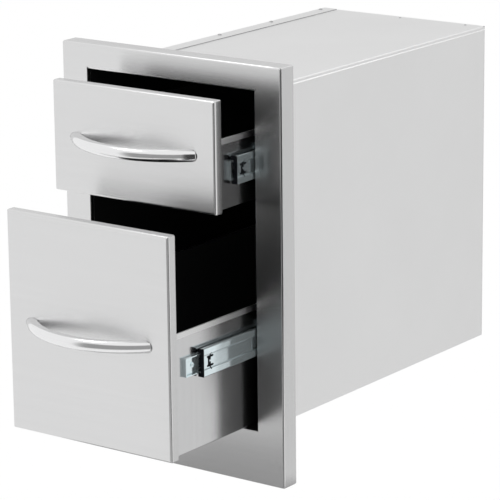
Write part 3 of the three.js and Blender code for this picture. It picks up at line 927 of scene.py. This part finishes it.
def build_rivets(sizes):
    """Rivets along the casing's left fold and its back edge, above and below."""
    low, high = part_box("left_side_panel")
    across = CASING_LOW.x + sizes.rivet_head
    places = [
        Matrix.Translation((across, low.y + share * (high.y - low.y), high.z)) for share in LEFT_RIVET_SHARES
    ]
    back = CASING_HIGH.y - BACK_FLANGE / 2
    small = Matrix.Scale(BACK_RIVET_SCALE, 4)
    underside = Matrix.Rotation(math.pi, 4, "X")
    for share in BACK_RIVET_SHARES:
        across = share * CASING_HIGH.x
        places.append(Matrix.Translation((across, back, CASING_HIGH.z)) @ small)
        places.append(Matrix.Translation((across, back, CASING_LOW.z)) @ underside @ small)
    heads = []
    for place in places:
        head = rivet(sizes)
        head.transform(place)
        heads.append(head)
    make_piece(
        "casing_rivets", merged(*heads), "cabinet", "casing_steel", finishes=("rivet_alloy_and_seam_shade",), ease=0,
    )


# Drawer boxes

def wall_finish(sign, hem, top, sheet):
    """A rule for a box wall's faces: matte on the rim, painted shade inside and box steel outside."""

    def choose(face):
        centre = face.calc_center_median()
        if centre.z > top or abs(centre.x - hem) < sheet:
            return EDGE
        # Faces that look into the drawer get painted shade
        looks_in = face.normal.x * sign < -SLIGHTLY or face.normal.z > MOSTLY
        return PAINTED_SHADE if looks_in and centre.z < top - sheet else OUTSIDE

    return choose


def plate_finish(inwards):
    """A rule for a box plate's faces: painted shade where they face inwards and box steel elsewhere."""
    return lambda face: PAINTED_SHADE if face.normal.dot(inwards) > MOSTLY else OUTSIDE


def box_piece(drawer, part, shape, grain, choose):
    """One sheet of a drawer box, steel outside, with painted shade inside."""
    make_piece(
        f"{drawer}_box_{part}", shape, f"{drawer}_drawer", "casing_steel", [f"{drawer}_drawer_{part}"],
        ("box_steel", "drawer_painted_shade", "casing_steel"), grain, choose,
    )


def build_drawer_box(drawer, sizes):
    """Side walls with hemmed rims, a floor and a back wall, all with painted shade inside."""
    sheet = sizes.casing_sheet
    for side, sign in SIDES.items():
        low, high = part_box(f"{drawer}_drawer_{side}_wall")
        edge = high.x if sign > 0 else low.x
        hem = edge - sign * sheet / 2
        wall = hem - sign * (RIM_HEM_GAP + sheet)
        top = high.z - sheet / 2
        floor = low.z + sheet / 2
        foot = wall - sign * FLOOR_FLANGE
        points = [(hem, high.z - RIM_HEIGHT), (hem, top), (wall, top), (wall, floor), (foot, floor)]
        shape = folded(points, sheet, "Y", low.y, high.y, sizes.casing_fold)
        box_piece(drawer, f"{side}_wall", shape, ("Z", "X"), wall_finish(sign, hem, top, sheet))
    floor = block(*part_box(f"{drawer}_drawer_floor"))
    box_piece(drawer, "floor", floor, ("Y", "Z"), plate_finish(ALONG["Z"]))
    back = block(*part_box(f"{drawer}_drawer_back_wall"))
    box_piece(drawer, "back_wall", back, ("X", "Z"), plate_finish(-ALONG["Y"]))


# Slides

def mirrored(points):
    """A path and its mirror image below it, as one path."""
    return points + [(depth, -height) for depth, height in points[::-1]]


class Slide:
    """Where one slide lies: its casing wall, its middle height and its members' depths."""

    def __init__(self, drawer, side):
        self.drawer = drawer
        self.sign = SIDES[side]
        self.name = f"{drawer}_{side}"
        low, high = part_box(f"{self.name}_cabinet_member")
        self.wall = high.x if self.sign > 0 else low.x
        self.height = (low.z + high.z) / 2
        self.cabinet_half = (high.z - low.z) / 2
        self.cabinet_reach = high.x - low.x
        low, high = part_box(f"{self.name}_drawer_member")
        self.drawer_half = (high.z - low.z) / 2
        self.drawer_edge, self.depth = self.depths(low, high)
        low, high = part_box(f"{self.name}_intermediate_member")
        self.intermediate_half = (high.z - low.z) / 2
        self.band, self.intermediate_edge = self.depths(low, high)

    def depths(self, low, high):
        """The least and the greatest depth of a box."""
        return sorted((abs(low.x - self.wall), abs(high.x - self.wall)))

    def across(self, depth):
        """A place across the slide, from a depth that counts from the casing wall."""
        return self.wall - self.sign * depth

    def section(self, points):
        """Depths and heights as places in X and Z."""
        return [(self.across(depth), self.height + height) for depth, height in points]

    def span(self, node):
        """Where a member starts and ends along Y."""
        low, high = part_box(f"{self.name}_{node}")
        return low.y, high.y

    def through(self, outline, first=0.0, last=None):
        """A tool that cuts an outline in Y and height through the slide."""
        last = self.depth + CUT_OVERRUN if last is None else last
        points = [(place, self.height + height) for place, height in outline]
        ends = sorted((self.across(first), self.across(last)))
        return prism(points, "X", *ends)


def slot_outline(place, height, length, width, upright=False):
    """An oval slot, along Y or upright."""
    points = []
    for end in (0, 1):
        for step in range(2 * BEND_STEPS + 1):
            turn = math.pi * (step / (2 * BEND_STEPS) - 0.5 + end)
            along = (length - width) / 2 * (1 - 2 * end) + width / 2 * math.cos(turn)
            aside = width / 2 * math.sin(turn)
            points.append((place - aside, height + along) if upright else (place + along, height + aside))
    return points


def snap_holes(slide, start):
    """Two crosses through the intermediate member's web, joined by an upright slot."""
    place = start + SNAP_SETBACK
    half = SNAP_SPACING / 2
    outlines = []
    for height in (-half, half):
        outlines.append(slot_outline(place, height, SNAP_LENGTH, SNAP_WIDTH))
        outlines.append(slot_outline(place, height, SNAP_HEIGHT, SNAP_WIDTH, upright=True))
    front = start + SNAP_SLOT_SETBACK
    back = front + SNAP_SLOT
    outlines.append([(front, -half), (back, -half), (back, half), (front, half)])
    return [slide.through(outline) for outline in outlines]


def web_holes(slide, node, first=0.0, last=None):
    """Slots and round holes by turns along a member's web."""
    start, end = slide.span(node)
    tools = []
    for number, share in enumerate(WEB_HOLE_SHARES):
        length = WEB_HOLE if number % 2 else WEB_SLOT
        outline = slot_outline(start + share * (end - start), 0, length, WEB_HOLE)
        tools.append(slide.through(outline, first, last))
    return tools


def slide_piece(slide, name, shape, body, node, ease=CUT_EDGE):
    """A zinc-plated part of a slide that stands for its node."""
    make_piece(f"{slide.name}_{name}", shape, body, "zinc_plate", [f"{slide.name}_{node}"], ease=ease)


def channel(slide, points, node):
    """A member's folded channel, from the upper half of its section."""
    bend = SLIDE_BEND + SLIDE_SHEET / 2
    return folded(slide.section(mirrored(points)), SLIDE_SHEET, "Y", *slide.span(node), bend)


def build_cabinet_member(slide):
    """The channel on the casing wall."""
    middle = SLIDE_SHEET / 2
    edge = slide.cabinet_reach - middle
    half = slide.cabinet_half
    shape = channel(
        slide, [(edge, half - CABINET_LIP), (edge, half - middle), (middle, half - middle)], "cabinet_member",
    )
    tools = web_holes(slide, "cabinet_member", -CUT_OVERRUN, OUTER_TRACK_DEPTH)
    slide_piece(slide, "cabinet_channel", carved(shape, *tools), "cabinet", "cabinet_member")


def build_intermediate_member(slide):
    """The member between, with a raised band along each edge of its web and two snap holes."""
    middle = SLIDE_SHEET / 2
    step = (OUTER_TRACK_DEPTH + slide.depth - INNER_TRACK_DEPTH) / 2
    track_half = slide.drawer_half + TRACK_GAP + middle
    band_half = slide.intermediate_half - middle
    foot = slide.intermediate_half - BAND_HEIGHT
    band = slide.band + middle
    points = [
        (slide.intermediate_edge, track_half),
        (step + TRACK_STEP / 2, track_half),
        (step - TRACK_STEP / 2, band_half),
        (band, band_half),
        (band, foot),
        (band + WEB_RECESS, foot - WEB_RECESS / 2),
    ]
    holes = snap_holes(slide, slide.span("intermediate_member")[0])
    shape = carved(channel(slide, points, "intermediate_member"), *holes)
    slide_piece(
        slide, "intermediate_channel", shape, f"{slide.name}_intermediate", "intermediate_member",
    )


def build_drawer_member(slide):
    """The channel on the drawer wall, with a tab bent across its front."""
    middle = SLIDE_SHEET / 2
    half = slide.drawer_half
    start = slide.span("drawer_member")[0]
    points = [(slide.drawer_edge, half - middle), (slide.depth - middle, half - middle)]
    tools = web_holes(slide, "drawer_member", slide.depth - 2 * SLIDE_SHEET)
    shape = carved(channel(slide, points, "drawer_member"), *tools)
    web = slide.across(slide.depth - middle)
    line = [
        (slide.across(slide.drawer_edge + middle), start + middle), (web, start + middle),
        (web, start + 3 * SLIDE_SHEET),
    ]
    outline = sheet_outline(line, SLIDE_SHEET, SLIDE_BEND)
    tab = prism(outline, "Z", slide.height - half + SLIDE_SHEET, slide.height + half - SLIDE_SHEET)
    slide_piece(
        slide, "drawer_channel", merged(shape, tab), f"{slide.drawer}_drawer", "drawer_member",
    )


def build_ball_cage(slide, kind):
    """A thin folded strip with a row of balls in each edge."""
    low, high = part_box(f"{slide.name}_{kind}_ball_cage")
    web = slide.depths(low, high)[0] + CAGE_SHEET / 2
    track = OUTER_TRACK_DEPTH if kind == "outer" else slide.depth - INNER_TRACK_DEPTH
    height = (high.z - low.z) / 2 - BALL / 2
    points = slide.section(mirrored([(track + CAGE_EDGE, height), (web, height)]))
    shapes = [folded(points, CAGE_SHEET, "Y", low.y, high.y, CAGE_BEND)]
    run = high.y - low.y - 2 * BALL
    count = max(2, int(run / BALL_PITCH) + 1)
    for number in range(count):
        for end in (-1, 1):
            along = low.y + BALL + run * number / (count - 1)
            place = (slide.across(track), along, slide.height + end * height)
            ball = bmesh.new()
            bmesh.ops.create_uvsphere(
                ball, u_segments=BALL_FACETS, v_segments=BALL_FACETS // 2, radius=BALL / 2,
                matrix=Matrix.Translation(place),
            )
            shapes.append(ball)
    cage = f"{kind}_cage"
    slide_piece(slide, cage, merged(*shapes), f"{slide.name}_{cage}", f"{kind}_ball_cage", ease=0)


def build_slide_screw(slide):
    """A pan-head screw with a cross recess, through the drawer member into the drawer wall."""
    low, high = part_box(f"{slide.name}_slide_screw")
    radius, shank = SCREW_HEAD / 2, SCREW_SHANK / 2
    profile = [(0, -SCREW_REACH), (shank, -SCREW_REACH), (shank, 0), (radius, 0)]
    profile += dome(radius, SCREW_HEAD_HEIGHT, SCREW_CROWN, SCREW_BRIM)
    profile.append((0, SCREW_HEAD_HEIGHT))
    half, width = SCREW_RECESS_REACH / 2, SCREW_RECESS / 2
    top = 2 * SCREW_HEAD_HEIGHT
    cross = [
        block((-x, -y, SCREW_RECESS_FLOOR), (x, y, top)) for x, y in ((half, width), (width, half))
    ]
    shape = carved(lathe(profile, DOME_SIDES), *cross)
    turn = Matrix.Rotation(SCREW_TURN, 4, "Z")
    shape.transform(Matrix.Rotation(slide.sign * math.pi / 2, 4, "Y") @ turn)
    seat = slide.across(slide.depth - SLIDE_SHEET)
    shape.transform(Matrix.Translation((seat, (low.y + high.y) / 2, slide.height)))
    slide_piece(slide, "pan_screw", shape, f"{slide.drawer}_drawer", "slide_screw", ease=0)


# Operators

class DRAWERUNIT_OT_stage(Operator):
    """Sets up the floor, the light, the cards that metal mirrors and the camera"""

    bl_idname = "drawer_unit.stage"
    bl_label = "Stage"

    def execute(self, context):
        build_stage(context.scene, context.scene.drawer_unit_stage)
        return {"FINISHED"}


class DRAWERUNIT_OT_face_frame(Operator):
    """Folds the face frame"""

    bl_idname = "drawer_unit.face_frame"
    bl_label = "Face frame"

    def execute(self, context):
        build_face_frame(context.scene.drawer_unit_sheet)
        return {"FINISHED"}


class DRAWERUNIT_OT_casing(Operator):
    """Folds the casing's five panels and rivets them"""

    bl_idname = "drawer_unit.casing"
    bl_label = "Casing"

    def execute(self, context):
        sizes = context.scene.drawer_unit_sheet
        build_side_panels(sizes)
        build_top_and_bottom(sizes)
        build_back_panel(sizes)
        build_rivets(sizes)
        return {"FINISHED"}


class DRAWERUNIT_OT_drawer_fronts(Operator):
    """Folds the two drawer fronts"""

    bl_idname = "drawer_unit.drawer_fronts"
    bl_label = "Drawer fronts"

    def execute(self, context):
        for drawer in DRAWERS:
            build_drawer_front(drawer, context.scene.drawer_unit_sheet)
        return {"FINISHED"}


class DRAWERUNIT_OT_handles(Operator):
    """Bends the two bow handles"""

    bl_idname = "drawer_unit.handles"
    bl_label = "Handles"

    def execute(self, context):
        for drawer in DRAWERS:
            build_handle(drawer, context.scene.drawer_unit_handle)
        return {"FINISHED"}


class DRAWERUNIT_OT_drawer_boxes(Operator):
    """Folds the two drawer boxes"""

    bl_idname = "drawer_unit.drawer_boxes"
    bl_label = "Drawer boxes"

    def execute(self, context):
        for drawer in DRAWERS:
            build_drawer_box(drawer, context.scene.drawer_unit_sheet)
        return {"FINISHED"}


class DRAWERUNIT_OT_slides(Operator):
    """Forms the members and ball cages of the four slides"""

    bl_idname = "drawer_unit.slides"
    bl_label = "Slides"

    def execute(self, context):
        for drawer in DRAWERS:
            for side in SIDES:
                slide = Slide(drawer, side)
                build_cabinet_member(slide)
                build_intermediate_member(slide)
                build_drawer_member(slide)
                build_ball_cage(slide, "outer")
                build_ball_cage(slide, "inner")
        return {"FINISHED"}


class DRAWERUNIT_OT_fittings(Operator):
    """Finishes the bumpers, release levers and screws"""

    bl_idname = "drawer_unit.fittings"
    bl_label = "Fittings"

    def execute(self, context):
        plastic = finish_named("black_plastic")
        zinc = finish_named("zinc_plate")
        for drawer in DRAWERS:
            for side in SIDES:
                build_slide_screw(Slide(drawer, side))
                for fitting in ("front_bumper", "rear_bumper", "release_lever"):
                    dress_node(f"{drawer}_{side}_{fitting}", plastic, 2 * CUT_EDGE)
                dress_node(f"{drawer}_handle_{side}_screw", zinc, CUT_EDGE)
        return {"FINISHED"}


class DRAWERUNIT_PT_pieces(Panel):
    """Lists the unit's pieces in the sidebar"""

    bl_idname = "DRAWERUNIT_PT_pieces"
    bl_label = "Drawer Unit"
    bl_space_type = "VIEW_3D"
    bl_region_type = "UI"
    bl_category = "Drawer Unit"

    def draw(self, context):
        for step in STEPS:
            self.layout.operator(step.bl_idname)


# Stage

def flat_finish(name, brightness):
    """A plain finish for what stands round the unit."""
    material, shader = new_finish(name)
    shader.inputs["Base Color"].default_value = (brightness, brightness, brightness, 1)
    shader.inputs["Roughness"].default_value = 1.0
    shader.inputs["Specular IOR Level"].default_value = 0.0
    return material


def staged(name, points, faces, finish):
    """A thing that stands round the unit, from its points and faces."""
    mesh = bpy.data.meshes.new(name)
    mesh.from_pydata(points, [], faces)
    mesh.materials.append(finish)
    piece = linked(name, mesh)
    piece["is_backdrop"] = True
    return piece


def build_floor(sizes):
    """A pale floor below the unit."""
    height = cad_box[0].z - sizes.floor_drop
    corners = [(-1, -1), (1, -1), (1, 1), (-1, 1)]
    points = [(x * FLOOR_REACH, y * FLOOR_REACH, height) for x, y in corners]
    staged("floor", points, [(0, 1, 2, 3)], flat_finish("pale_floor", 1))


def card(name, place, cells, brightness, margins):
    """A card that only metal mirrors, from a rule for its points, with soft margins across and up."""
    points = []
    faces = []
    covers = []
    columns, rows = cells
    for row in range(rows + 1):
        for column in range(columns + 1):
            across, up = column / columns, row / rows
            points.append(place(across, up))
            aside = min(across, 1 - across) / margins[0]
            ahead = min(up, 1 - up) / margins[1]
            covers.append(min(aside, ahead, 1))
            if row and column:
                corner = len(points) - 1
                below = corner - columns - 1
                faces.append((corner, corner - 1, below - 1, below))
    finish = flat_finish(name, 0)
    shader = finish.node_tree.nodes["Principled BSDF"]
    shader.inputs["Emission Color"].default_value = (brightness, brightness, brightness, 1)
    shader.inputs["Emission Strength"].default_value = 1.0
    cover = add_node(finish, "ShaderNodeAttribute", attribute_name="cover").outputs["Fac"]
    wire(finish, cover, shader.inputs["Alpha"])
    piece = staged(name, points, faces, finish)
    piece.data.attributes.new("cover", "FLOAT", "POINT").data.foreach_set("value", covers)
    piece.visible_camera = False
    piece.visible_diffuse = False
    piece.visible_shadow = False


def curved_card(name, sizes):
    """A card bent round the unit, as its span says."""
    azimuths, elevations, margin = CARD_SPANS[name]

    def place(across, up):
        azimuth = azimuths[0] + (azimuths[1] - azimuths[0]) * across
        elevation = elevations[0] + (elevations[1] - elevations[0]) * up
        way = direction(math.radians(azimuth), math.radians(elevation))
        return centre_point + way * sizes.card_distance

    card(name, place, CARD_CELLS, getattr(sizes, name), (margin, margin))


def flat_card(name, corner, across, up, cells, brightness, margins):
    """A flat card, from a corner and its two edges."""
    corner, across, up = Vector(corner), Vector(across), Vector(up)
    card(name, lambda right, ahead: corner + across * right + up * ahead, cells, brightness, margins)


def build_cards(sizes):
    """The cards round the unit, under the drawers, beside them and at the frame's edge."""
    curved_card("front_card", sizes)
    curved_card("side_card", sizes)
    low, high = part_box("lower_drawer_floor")
    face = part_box("lower_drawer_front")[0].y
    flat_card(
        "low_card", (low.x, LOW_CARD_LEAD * face, cad_box[0].z - LOW_CARD_DROP),
        (LOW_CARD_REACH * high.x - low.x, 0, 0), (0, -LOW_CARD_LENGTH * face, 0),
        cells=(6, 6), brightness=sizes.low_card, margins=(0.17, 0.17),
    )
    flat_card(
        "near_card", NEAR_CARD_CORNER, (NEAR_CARD_WIDTH, 0, 0), (0, 0, NEAR_CARD_HEIGHT),
        cells=(10, 10), brightness=sizes.near_card, margins=(0.1, 0.1),
    )
    edge, top = cad_box[1].x - EDGE_CARD_WIDTH / 2, cad_box[1].z
    flat_card(
        "edge_card", (edge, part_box("face_frame")[0].y + EDGE_CARD_SETBACK, EDGE_CARD_FOOT * top),
        (EDGE_CARD_WIDTH, 0, 0), (0, 0, EDGE_CARD_HEIGHT * top),
        cells=(8, 10), brightness=sizes.near_card, margins=(0.35, 0.3),
    )
    curved_card("back_card", sizes)


def build_lamp(sizes):
    """A soft lamp above and to the left, turned to the unit."""
    lamp = bpy.data.lights.new("soft_lamp", "AREA")
    lamp.shape = "RECTANGLE"
    lamp.size, lamp.size_y = sizes.lamp_length, sizes.lamp_width
    lamp.energy = sizes.lamp_energy
    back = direction(*[math.radians(angle) for angle in LAMP_PLACE])
    turn = back.to_track_quat("Z", "Y").to_matrix().to_4x4()
    place = Matrix.Translation(centre_point + back * sizes.card_distance)
    linked("soft_lamp", lamp).matrix_world = place @ turn


def build_world(scene):
    """Plain white light from all round."""
    world = bpy.data.worlds.new("plain_light")
    world.use_nodes = True
    background = world.node_tree.nodes["Background"]
    background.inputs["Color"].default_value = (1, 1, 1, 1)
    background.inputs["Strength"].default_value = 1.0
    scene.world = world
    scene.view_settings.view_transform = "Standard"


def build_stage(scene, sizes):
    """The floor, the cards, the light and the camera."""
    build_floor(sizes)
    build_cards(sizes)
    build_lamp(sizes)
    build_world(scene)
    place_camera(scene, sizes)


def direction(azimuth, elevation):
    """The way from the unit towards an azimuth, round to the right of its front, and an elevation."""
    level = math.cos(elevation)
    return Vector((math.sin(azimuth) * level, -math.cos(azimuth) * level, math.sin(elevation)))


def place_camera(scene, sizes):
    """The camera, where it sees the unit as it was photographed."""
    back = direction(sizes.azimuth, sizes.elevation)
    level = Vector((math.cos(sizes.azimuth), math.sin(sizes.azimuth), 0))
    right = Matrix.Rotation(sizes.roll, 3, back) @ level
    turn = Matrix((right, back.cross(right), back)).transposed().to_4x4()
    camera = linked("camera", bpy.data.cameras.new("camera"))
    camera.data.lens = sizes.lens
    camera.matrix_world = Matrix.Translation(Vector(sizes.aim) + back * sizes.distance) @ turn
    scene.camera = camera


STEPS = (
    DRAWERUNIT_OT_stage,
    DRAWERUNIT_OT_face_frame,
    DRAWERUNIT_OT_casing,
    DRAWERUNIT_OT_drawer_fronts,
    DRAWERUNIT_OT_handles,
    DRAWERUNIT_OT_drawer_boxes,
    DRAWERUNIT_OT_slides,
    DRAWERUNIT_OT_fittings,
)
SETTINGS = {
    "drawer_unit_sheet": DrawerUnitSheet,
    "drawer_unit_handle": DrawerUnitHandle,
    "drawer_unit_finish": DrawerUnitFinish,
    "drawer_unit_stage": DrawerUnitStage,
}


def register():
    """Makes the settings, operators and panel known."""
    for made in (*SETTINGS.values(), *STEPS, DRAWERUNIT_PT_pieces):
        bpy.utils.register_class(made)
    for name, group in SETTINGS.items():
        setattr(bpy.types.Scene, name, PointerProperty(type=group))


def unregister():
    """Takes them away again."""
    for name in SETTINGS:
        delattr(bpy.types.Scene, name)
    for made in (DRAWERUNIT_PT_pieces, *reversed(STEPS), *SETTINGS.values()):
        bpy.utils.unregister_class(made)


def main():
    """Builds the unit step by step."""
    register()
    bpy.ops.drawer_unit.stage()
    bpy.ops.drawer_unit.face_frame()
    bpy.ops.drawer_unit.casing()
    bpy.ops.drawer_unit.drawer_fronts()
    bpy.ops.drawer_unit.handles()
    bpy.ops.drawer_unit.drawer_boxes()
    bpy.ops.drawer_unit.slides()
    bpy.ops.drawer_unit.fittings()
    boxes = {"cad": cad_box, "visual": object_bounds()}
    {name: [list(corner) for corner in box] for name, box in boxes.items()}


if __name__ == "__main__":
    main()
